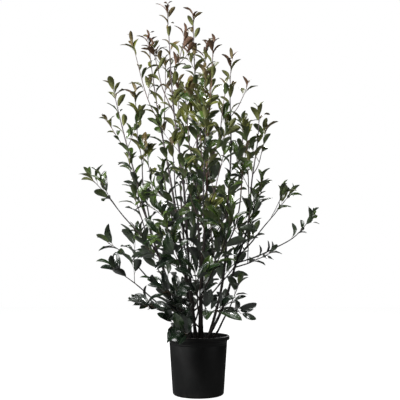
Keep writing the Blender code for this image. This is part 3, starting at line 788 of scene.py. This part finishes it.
def makeChips():
    # squashed six-point lumps of bark and grit, half sunk in the soil
    rng = random.Random("chips")
    corners = np.array([(1, 0, 0), (0, 1, 0), (-1, 0, 0), (0, -1, 0), (0, 0, 1), (0, 0, -1)], dtype=float)
    sides = [(0, 1, 4), (1, 2, 4), (2, 3, 4), (3, 0, 4), (1, 0, 5), (2, 1, 5), (3, 2, 5), (0, 3, 5)]
    limit = wallRadius(soil["top"]) - pot["wall"] - soil["chipSize"][1]
    points = []
    faces = []
    for i in range(soil["chips"]):
        size = rng.uniform(*soil["chipSize"])
        spread = limit * math.sqrt(rng.random())
        turn = rng.uniform(0, math.tau)
        centre = Vector((spread * math.cos(turn), spread * math.sin(turn),
                         soil["top"] - rng.uniform(0, soil["chipSink"])))
        shape = Matrix.Diagonal((size / 2, size * rng.uniform(*soil["chipWidth"]),
                                 size * rng.uniform(*soil["chipThick"])))
        tilt = Matrix.Rotation(rng.uniform(-soil["chipTilt"], soil["chipTilt"]), 3, "X")
        tilt = tilt @ Matrix.Rotation(rng.uniform(0, math.tau), 3, "Z")
        faces += [[6 * i + c for c in side] for side in sides]
        for corner in corners:
            jitter = Vector([rng.uniform(*soil["chipJitter"]) * c for c in corner])
            points.append(centre + tilt @ shape @ jitter + Vector((0, 0, soil["chipRise"])))
    piece = meshPiece("soilChips", points, faces)
    finishPiece(piece, "soilChips", soilChip, ["soil"], soil["chipSmoothAngle"])


makeSoil()
makeChips()
print("soil made")


# Limbs: every stem and bough from its foot to its tip, with swollen nodes and the bark's relief

limb = {
    "ringGap": 0.008,
    "nodeGap": 0.036,
    "nodeSwell": 0.16,
    "nodeWidth": 0.007,
    "roundness": 4,
    "grain": 0.005,
    "grainDepth": 2,
    "relief": 0.0005,
    "brown": ("stem_3", "right_tall"),
    "smoothAngle": 60,
}


def swollen(name, distance, radius):
    # a small swelling where each leaf of an earlier year sat
    offset = random.Random(f"nodes {name}").random()
    fromNode = abs((distance / limb["nodeGap"] + offset) % 1 - 0.5) * limb["nodeGap"]
    return radius * (1 + limb["nodeSwell"] * max(0, 1 - fromNode / limb["nodeWidth"]))


def makeLimb(name, nodes):
    shoot = shoots[name]
    count = round(shoot.length / limb["ringGap"])
    curve = bpy.data.curves.new(name, "CURVE")
    curve.dimensions = "3D"
    curve.bevel_depth = 1.0
    curve.bevel_resolution = limb["roundness"]
    curve.use_fill_caps = True
    line = curve.splines.new("POLY")
    line.points.add(count)
    for i, point in enumerate(line.points):
        t = i / count
        point.co = (*shoot.at(t), 1)
        point.radius = swollen(name, t * shoot.length, radiusAt(name, t))
    makeActive(addObject(name, curve))
    bpy.ops.object.convert(target="MESH")
    piece = bpy.context.object
    addRelief(piece, "barkGrain", limb["grain"], limb["grainDepth"], limb["relief"])
    applyAll(piece)
    finish = brownBark if name in limb["brown"] else bark
    finishPiece(piece, f"bark_{name}", finish, nodes, limb["smoothAngle"])


for name in stems:
    makeLimb(name, [name, f"foliage_{name}"])
for name in boughs:
    makeLimb(name, [f"bough_{name}", f"foliage_{name}"])
print("limbs made:", len(stems) + len(boughs))


# Foliage: whips, twigs and leaves by the rule that the solids grew by, carried to finer twigs

foliage = {
    # at the foot of the crown and at its top
    "gap": (0.031, 0.037),
    "leaf": (0.106, 0.072),
    "width": (0.38, 0.30),
    "tipSize": (0.85, 0.74),
    "twig": (0.19, 0.11),
    "vary": (0.85, 1.15),
    # the blade
    "petiole": 0.15,
    "petioleRadius": 0.0008,
    "stalkInto": 0.004,
    "stalkTaper": 0.8,
    "stalkSides": 5,
    "widest": 0.56,
    "thick": 0.0006,
    "arch": (0.05, 0.16),
    "archHigh": 0.12,
    "archShare": 0.9,
    "fold": (0.25, 0.55),
    "wave": 0.022,
    "waveBeats": (1.2, 2.0),
    "waveShift": 1.7,
    "twist": 0.5,
    "twistFrom": 0.3,
    "leafSmoothAngle": 55,
    # the room that it asks for, as shares of its length
    "roomRise": 0.10,
    "roomThick": 0.011,
    "roomFold": 0.04,
    "room": 0.0010,
    "roomAhead": 4,
    "roomSides": 3,
    "mostRooms": 20000,
    # where leaves sit on their shoot
    "openFrom": 0.14,
    "openness": 1.15,
    "wideFrom": 0.30,
    "wideGap": 1.5,
    "placeInGap": (0.1, 0.5),
    "spread": (math.radians(64), math.radians(44)),
    "roll": math.radians(44),
    "lightPull": 0.18,
    "faceLift": 0.5,
    "goldenTurn": math.radians(137.5),
    "firstLeaf": 0.03,
    "tipLeaves": 4,
    "twigTipLeaves": 3,
    "tipStep": 0.013,
    "tipOffset": 0.2,
    "tipSpread": math.radians(22),
    "tipSpreadStep": math.radians(15),
    "tipSizeStep": 0.13,
    "tipRoll": 0.5,
    "tipNarrow": 0.85,
    "tipYoung": 0.30,
    # twigs and whips
    "twigEveryLow": 3,
    "twigEveryHigh": 10,
    "wideTwigEvery": 5,
    "shortestTwig": 0.05,
    "twigRadius": 0.0015,
    "twigTaper": 0.75,
    "twigSpread": math.radians(50),
    "twigLift": 0.5,
    "twigLeafless": 0.22,
    "twigsUpTo": 1.50,
    "twigBands": (0.65, 1.1),     # the heights between which twigs go into twigsMiddle
    "twigSmoothAngle": 50,
    "whipSides": 6,
    "ringGap": 0.02,
    "linePoints": 30,
    # limits of the crown
    "tall": 0.95,
    "crownFrom": 1.05,
    "spaceShare": 1.25,
    "insideBox": 0.006,
    "overRim": 0.335,
    "rimSide": -0.05,
    "besideRim": (-0.14, 0.355),
    "lowest": 0.250,
    # tints by height (darker lower down: the older leaves' own colour and painted shade), by the place along
    # the shoot, and by chance
    "tintFrom": 0.3,
    "tintHeight": 1.5,
    "tintAlong": 0.20,
    "tintShoot": 0.07,
    "tintLeaf": 0.10,
}

# shoots whose leaves are smaller than their height gives, and which carry no twigs
smallLeaved = {"fork_7": 0.55, "right_reach": 0.68, "right_low": 0.70, "left_twig": 0.72,
               "fork_rim_high": 0.8, "stem_10": 0.85}

triedTurns = [math.radians(turn) for turn in (0, 40, -40, 80, -80, 140)]

# half width along the blade as a share of the widest, and the lines across it
bladeRows = ((0.11, 0.42), (0.31, 0.84), (0.54, 1.00), (0.77, 0.88), (0.93, 0.46))
bladeColumns = (-1, -0.5, 0, 0.5, 1)


def leafPattern():
    # a leaf's points as shares along and across, with 1 for those of its underside, and its faces
    wide = len(bladeColumns)
    last = len(bladeRows) - 1
    top = [(along, half * column, 0) for along, half in bladeRows for column in bladeColumns]
    under = [(along, half * column, 1) for along, half in bladeRows for column in bladeColumns[1:-1]]
    spots = [(0, 0, 0), *top, (1, 0, 0), *under]
    tip = len(top) + 1
    faces = []
    figures = []
    for below in (0, 1):
        aside = below * veins["underside"]

        def corner(row, column):
            # a point's number and its UV
            inner = below and 0 < column < wide - 1
            number = tip + row * (wide - 2) + column if inner else 1 + row * wide + column
            return number, ((bladeColumns[column] + 1) / 2 + aside, bladeRows[row][0])

        for column in range(wide - 1):
            rows = [[corner(row, column), corner(row, column + 1), corner(row + 1, column + 1),
                     corner(row + 1, column)] for row in range(last)]
            rows.append([(0, (0.5 + aside, 0)), corner(0, column + 1), corner(0, column)])
            rows.append([(tip, (0.5 + aside, 1)), corner(last, column), corner(last, column + 1)])
            for corners in rows:
                if below:
                    corners.reverse()
                faces.append([point for point, figure in corners])
                figures += [figure for point, figure in corners]
    return np.array(spots), faces, figures


leafSpots, leafFaces, leafFigures = leafPattern()


def leafPoints(root, heading, face, length, width, height, rng):
    # arched back, folded along its middle, waved at its margin and slightly twisted
    start = foliage["petiole"]
    spotAlong, spotAcross, spotUnder = leafSpots.T
    along = start + (1 - start) * spotAlong
    turn = rng.uniform(-1, 1) * foliage["twist"] * (spotAlong - foliage["twistFrom"])
    across = spotAcross * width / 2
    arch = (rng.uniform(*foliage["arch"]) + foliage["archHigh"] * height) * length
    lift = rng.uniform(*foliage["fold"]) * np.abs(across)
    beat = math.tau * (rng.uniform(*foliage["waveBeats"]) * spotAlong + rng.random())
    beat = beat + (spotAcross > 0) * foliage["waveShift"]
    lift = lift + foliage["wave"] * length * np.abs(spotAcross) * np.sin(beat)
    lift = lift - foliage["thick"] * spotUnder
    side = np.array(heading.cross(face))
    up = np.array(face)
    spread = across * np.cos(turn) - lift * np.sin(turn)
    rise = across * np.sin(turn) + lift * np.cos(turn)
    rise = rise + arch * 4 * along * (1 - along) * foliage["archShare"]
    return (np.array(root) + np.outer(along * length, np.array(heading))
            + np.outer(spread, side) + np.outer(rise, up))


roomFaces = [(0, 1, 2), (0, 2, 3), (0, 3, 4), (0, 4, 1), (5, 2, 1), (5, 3, 2), (5, 4, 3), (5, 1, 4)]


def leafRoom(root, heading, face, length, width):
    # the room that a leaf asks for: a lens round its blade
    side = heading.cross(face)
    middle = root + heading * foliage["widest"] * length + face * foliage["roomRise"] * length
    half = side * (width / 2 + foliage["room"])
    thick = face * (foliage["roomThick"] * length + foliage["room"])
    fold = face * foliage["roomFold"] * length
    return [root, middle - half + fold, middle - thick, middle + half + fold, middle + thick,
            root + heading * (length + foliage["roomAhead"] * foliage["room"])]


def tube(rings, sides):
    points = []
    for centre, along, radius in rings:
        turn = Vector((0, 0, 1)).rotation_difference(along)
        for i in range(sides):
            angle = math.tau * i / sides
            points.append(centre + turn @ Vector((radius * math.cos(angle), radius * math.sin(angle), 0)))
    last = len(points) - sides
    faces = [tuple(reversed(range(sides))), tuple(range(last, len(points)))]
    for low in range(0, last, sides):
        for i in range(sides):
            j = (i + 1) % sides
            faces.append((low + i, low + j, low + sides + j, low + sides + i))
    return points, faces


class Heap:
    # many small shapes that become one joined mesh, and the masses that they belong to

    def __init__(self):
        self.points = []
        self.faces = []
        self.figures = []
        self.count = 0
        self.owners = set()

    def add(self, points, faces, owner, figures=()):
        self.points.append(np.array(points))
        self.faces += [[self.count + i for i in face] for face in faces]
        self.figures += figures
        self.count += len(points)
        self.owners.add(owner)


class Taken:
    # the room already taken, so that nothing grows through anything else

    def __init__(self):
        self.centres = np.zeros((foliage["mostRooms"], 3))
        self.reaches = np.zeros(foliage["mostRooms"])
        self.trees = []

    @staticmethod
    def ball(points):
        points = np.array(points)
        centre = (points.min(axis=0) + points.max(axis=0)) / 2
        return centre, np.sqrt(((points - centre) ** 2).sum(axis=1).max())

    def add(self, points, faces):
        place = len(self.trees)
        self.centres[place], self.reaches[place] = self.ball(points)
        self.trees.append(BVHTree.FromPolygons(points, faces))
        return self.trees[-1]

    def isFree(self, points, faces, axis):
        # whether this room is still free, apart from the axis it grows on
        centre, reach = self.ball(points)
        count = len(self.trees)
        near = ((self.centres[:count] - centre) ** 2).sum(axis=1) < (self.reaches[:count] + reach) ** 2
        tree = BVHTree.FromPolygons(points, faces)
        return not any(tree.overlap(self.trees[i]) for i in np.nonzero(near)[0] if self.trees[i] is not axis)


def lineTree(lines):
    count = foliage["linePoints"]
    points = [line.at(i / count) for line in lines for i in range(count + 1)]
    tree = KDTree(len(points))
    for i, point in enumerate(points):
        tree.insert(point, i)
    tree.balance()
    return tree


leafHeaps = {label: Heap() for label in leafTints}
twigHeaps = {label: Heap() for label in ("twigsLow", "twigsMiddle", "twigsTop")}
stalkHeap = Heap()
taken = Taken()
for node in ("pot", "soil"):
    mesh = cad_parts[node].data
    taken.add([v.co for v in mesh.vertices], [tuple(p.vertices) for p in mesh.polygons])
boxLow, boxHigh = [Vector(corner) for corner in cadBox]


def shootRings(name, low, high, gap):
    shoot = shoots[name]
    count = max(2, round((high - low) * shoot.length / gap))
    shares = [low + (high - low) * i / count for i in range(count + 1)]
    return [(shoot.at(t), shoot.along(t), radiusAt(name, t)) for t in shares]


def twigRings(twig, room=0.0):
    count = max(3, round(twig.length / foliage["ringGap"]))
    taper = growth["whipRadius"] * foliage["twigTaper"] - foliage["twigRadius"]
    return [(twig.at(i / count), twig.along(i / count), foliage["twigRadius"] + taper * i / count + room)
            for i in range(count + 1)]


# how the tints go up the crown, the lower, darker ones partly painted shade: the lowest score that each is
# dealt from
tintScores = (("Red", 1.16), ("Bronze", 1.00), ("Olive", 0.75), ("Mid", 0.48), ("Deep", 0.24), ("Shade", -9))


def between(pair, share):
    # from the first of a pair at no share to the second at a whole one
    return pair[0] + (pair[1] - pair[0]) * share


def isWide(shoot):
    # whether it is one of the long shoots to either side, below the crown
    return abs(shoot.tip.x) > foliage["wideFrom"] and shoot.tip.z < foliage["crownFrom"]


class Mass:
    # the whip of a shoot and its forks, the twigs on them, and the leaves on all of these

    def __init__(self, name):
        self.name = name
        self.shoots = [name, *(fork for fork in forks if forks[fork][0] == name)]
        self.near = lineTree([shoots[shoot] for shoot in self.shoots])
        self.far = lineTree([shoots[shoot] for shoot in shoots if shoot not in self.shoots])
        self.leafCount = 0
        for shoot in self.shoots:
            self.growShoot(shoot)

    def growShoot(self, name):
        shoot = shoots[name]
        variant, self.spacing = deals[name]
        self.rng = random.Random(f"foliage {name} {variant}")
        self.turn = self.rng.uniform(0, math.tau)
        low = limbShare(name)
        bare = low + foliage["firstLeaf"] / shoot.length if low > 0 else branches[name][-3]
        points, faces = tube(shootRings(name, low, 1, foliage["ringGap"]), foliage["whipSides"])
        axis = taken.add(points, faces)
        if name in sprays or name in forks:
            self.keepTwig(points, faces, shoot.at(0.5).z)
        every = foliage["twigEveryHigh"] if shoot.tip.z > foliage["tall"] else foliage["twigEveryLow"]
        if isWide(shoot):
            every = foliage["wideTwigEvery"]
        self.leafShare = smallLeaved.get(name, 1)
        if name in smallLeaved:
            every = 0
        self.tint = self.rng.gauss(0, foliage["tintShoot"])
        self.growLeaves(shoot, axis, bare, every, foliage["tipLeaves"])

    def keepTwig(self, points, faces, height):
        middle, top = foliage["twigBands"]
        label = "twigsLow" if height < middle else "twigsMiddle" if height < top else "twigsTop"
        twigHeaps[label].add(points, faces, self.name)

    def growLeaves(self, shoot, axis, low, every, tipLeaves):
        # leaves up an axis, each a golden turn on from the last, with twigs among them
        gap = between(foliage["gap"], self.heightShare(shoot.at((1 + low) / 2))) * self.spacing
        if self.leafShare < 1:
            gap *= self.leafShare
        elif isWide(shoot):
            gap *= foliage["wideGap"]
        elif abs(shoot.tip.x) > foliage["openFrom"]:
            gap *= foliage["openness"]
        count = max(1, round((1 - low) * shoot.length / gap))
        for i in range(count):
            t = low + (1 - low) * (i + self.rng.uniform(*foliage["placeInGap"])) / count
            roomy = (1 - t) * shoot.length > foliage["shortestTwig"] and shoot.at(t).z < foliage["twigsUpTo"]
            if every and i % every == 0 and roomy:
                self.growTwig(shoot, axis, t)
            else:
                self.growLeaf(shoot, axis, t, between(foliage["spread"], t))
        young = self.heightShare(shoot.tip)
        small = between(foliage["tipSize"], young)
        for i in range(tipLeaves):
            t = 1 - foliage["tipStep"] * (i + foliage["tipOffset"]) / shoot.length
            spread = foliage["tipSpread"] + foliage["tipSpreadStep"] * i
            share = min(1, small + foliage["tipSizeStep"] * i)
            self.growLeaf(shoot, axis, t, spread, share, foliage["tipNarrow"], foliage["tipRoll"],
                          foliage["tipYoung"] * young ** 2)

    def heightShare(self, place):
        return (place.z - growth["soilTop"]) / (growth["crownTop"] - growth["soilTop"])

    def byHeight(self, root, pair):
        return between(pair, self.heightShare(root)) * self.rng.uniform(*foliage["vary"])

    def headings(self, shoot, t, spread, rollShare=1.0):
        # the directions to try at a place on an axis, each with the way its upper side faces
        self.turn += foliage["goldenTurn"]
        along = shoot.along(t)
        roll = self.rng.uniform(-1, 1) * foliage["roll"] * rollShare
        for extra in triedTurns:
            out = Matrix.Rotation(self.turn + extra, 3, along) @ along.orthogonal().normalized()
            heading = along * math.cos(spread) + out * math.sin(spread)
            heading = (heading + Vector((0, 0, foliage["lightPull"]))).normalized()
            face = along + Vector((0, 0, foliage["faceLift"]))
            face = (face - heading * face.dot(heading)).normalized()
            yield heading, Matrix.Rotation(roll, 3, heading) @ face

    def growTwig(self, shoot, axis, t):
        root = shoot.at(t)
        length = min(self.byHeight(root, foliage["twig"]), (1 - t) * shoot.length)
        for heading, _face in self.headings(shoot, t, foliage["twigSpread"]):
            twig = Shoot(f"{self.name} twig {t:.2f}", root, root + heading * length, 0, foliage["twigLift"])
            points, faces = tube(twigRings(twig, foliage["room"]), foliage["roomSides"])
            if self.fits(points, twig.tip) and taken.isFree(points, faces, axis):
                points, faces = tube(twigRings(twig), foliage["whipSides"])
                own = taken.add(points, faces)
                self.keepTwig(points, faces, root.z)
                self.growLeaves(twig, own, foliage["twigLeafless"], 0, foliage["twigTipLeaves"])
                return

    def fits(self, points, tip):
        # whether a twig or a leaf keeps to the mass's space and inside the solids' box
        if self.near.find(tip)[2] > foliage["spaceShare"] * self.far.find(tip)[2]:
            return False
        if tip.z < foliage["overRim"] and tip.x > foliage["rimSide"]:
            return False                 # leaves hang over the rim at the left only, and close to it
        side, height = foliage["besideRim"]
        if tip.z < foliage["lowest"] or tip.x < side and tip.z < height:
            return False
        inside = foliage["insideBox"]
        return all(boxLow[i] + inside < point[i] < boxHigh[i] - inside for point in points for i in range(3))

    def growLeaf(self, shoot, axis, t, spread, share=1.0, narrow=1.0, rollShare=1.0, young=0.0):
        root = shoot.at(t)
        length = self.byHeight(root, foliage["leaf"]) * share * self.leafShare
        width = self.byHeight(root, foliage["width"]) * length * narrow
        for heading, face in self.headings(shoot, t, spread, rollShare):
            room = leafRoom(root, heading, face, length, width)
            if self.fits(room, room[-1]) and taken.isFree(room, roomFaces, axis):
                taken.add(room, roomFaces)
                self.keepLeaf(root, heading, face, length, width, t, young)
                return

    def keepLeaf(self, root, heading, face, length, width, t, young):
        self.leafCount += 1
        points = leafPoints(root, heading, face, length, width, self.heightShare(root), self.rng)
        # a lower leaf scores lower and so takes a darker tint: painted shade as well as the older leaves'
        # own colour
        score = (root.z - foliage["tintFrom"]) / foliage["tintHeight"] + foliage["tintAlong"] * t
        score = score + young + self.tint + self.rng.gauss(0, foliage["tintLeaf"])
        label = next(name for name, lowest in tintScores if score >= lowest)
        leafHeaps[label].add(points, leafFaces, self.name, leafFigures)
        base = Vector(points[0])
        radius = foliage["petioleRadius"]
        rings = [(root, (base - root).normalized(), radius),
                 (base + heading * foliage["stalkInto"], heading, radius * foliage["stalkTaper"])]
        stalkHeap.add(*tube(rings, foliage["stalkSides"]), self.name)


leafTotal = 0
for name in (*stems, *boughs, *sprays):
    mass = Mass(name)
    leafTotal += mass.leafCount
print("leaves grown:", leafTotal, "rooms taken:", len(taken.trees))


def heapPiece(heap, name, material, smoothAngle):
    piece = meshPiece(name, np.concatenate(heap.points), heap.faces, heap.figures or None)
    nodes = sorted(f"foliage_{owner}" for owner in heap.owners)
    print(name, "faces:", len(heap.faces))
    finishPiece(piece, name, material, nodes, smoothAngle)


for label, heap in leafHeaps.items():
    heapPiece(heap, f"leaves{label}", leafFinishes[label], foliage["leafSmoothAngle"])
for label, heap in twigHeaps.items():
    heapPiece(heap, label, twigBark, foliage["twigSmoothAngle"])
heapPiece(stalkHeap, "leafStalks", stalkFinish, foliage["twigSmoothAngle"])


# Stage: pale floor, soft light from the top left and front, and the camera of the photograph

stage = {
    "floorSize": 12.0,
    "floorColour": (0.20, 0.20, 0.20),
    "floorRoughness": 0.9,
    "floorGlow": 0.965,
    "background": (1.0, 1.0, 1.0),
    "fill": 0.012,
    "cameraPlace": (0.0075, -2.93, 0.565),
    "cameraTilt": math.radians(95.71),
    "lens": 58.5,
    "sensor": 36.0,
}
# where each light stands, what it is aimed at, its size and its power
lights = {
    "keyLight": ((-1.7, -2.6, 3.0), (0, 0, 1.0), 0.9, 212),
    "rightLight": ((2.5, -1.2, 2.0), (0, 0, 0.9), 1.0, 22),
    "leftLight": ((-2.5, -0.6, 1.5), (0, 0, 0.6), 1.2, 32),
    "sheenLight": ((-1.6, -1.8, 0.75), (-0.3, -0.05, 0.45), 0.5, 9),
    "topLight": ((0.2, 0.3, 3.9), (0, 0, 1.0), 1.6, 42),
    "backLight": ((0.7, 2.9, 2.2), (0, 0, 0.9), 1.4, 75),
}


def makeFloor():
    deselectAll()
    bpy.ops.mesh.primitive_plane_add(size=stage["floorSize"])
    floor = bpy.context.object
    floor.name = "floor"
    material, tree, shader = newMaterial("paleFloor")
    path = tree.nodes.new("ShaderNodeLightPath")     # it glows for the camera alone, and lights nothing
    glow = blendColour(tree, path.outputs["Is Camera Ray"], (0.0, 0.0, 0.0), (1.0, 1.0, 1.0))
    feed(tree, shader, {
        "Base Color": (*stage["floorColour"], 1),
        "Roughness": stage["floorRoughness"],
        "Emission Color": glow,
        "Emission Strength": stage["floorGlow"]})
    floor.data.materials.append(material)


def makeWorld():
    # white where the camera looks past the floor, softer where it lights the plant
    world = bpy.data.worlds.new("studio")
    bpy.context.scene.world = world
    world.use_nodes = True
    tree = world.node_tree
    path = tree.nodes.new("ShaderNodeLightPath")
    strength = mathNode(tree, "MAXIMUM", path.outputs["Is Camera Ray"], stage["fill"])
    feed(tree, tree.nodes["Background"], {"Color": (*stage["background"], 1), "Strength": strength})


def addLight(name, place, aim, size, power):
    light = bpy.data.lights.new(name, "AREA")
    light.shape = "DISK"
    light.size = size
    light.energy = power
    lamp = addObject(name, light)
    lamp.location = place
    lamp.rotation_euler = (Vector(aim) - Vector(place)).to_track_quat("-Z", "Y").to_euler()


def addCamera():
    camera = bpy.data.cameras.new("camera")
    camera.lens = stage["lens"]
    camera.sensor_width = stage["sensor"]
    holder = addObject("camera", camera)
    holder.location = stage["cameraPlace"]
    holder.rotation_euler = (stage["cameraTilt"], 0, 0)
    bpy.context.scene.camera = holder


makeFloor()
makeWorld()
for name, (place, aim, size, power) in lights.items():
    addLight(name, place, aim, size, power)
addCamera()
bpy.context.scene.view_settings.view_transform = "Standard"
print("stage set")
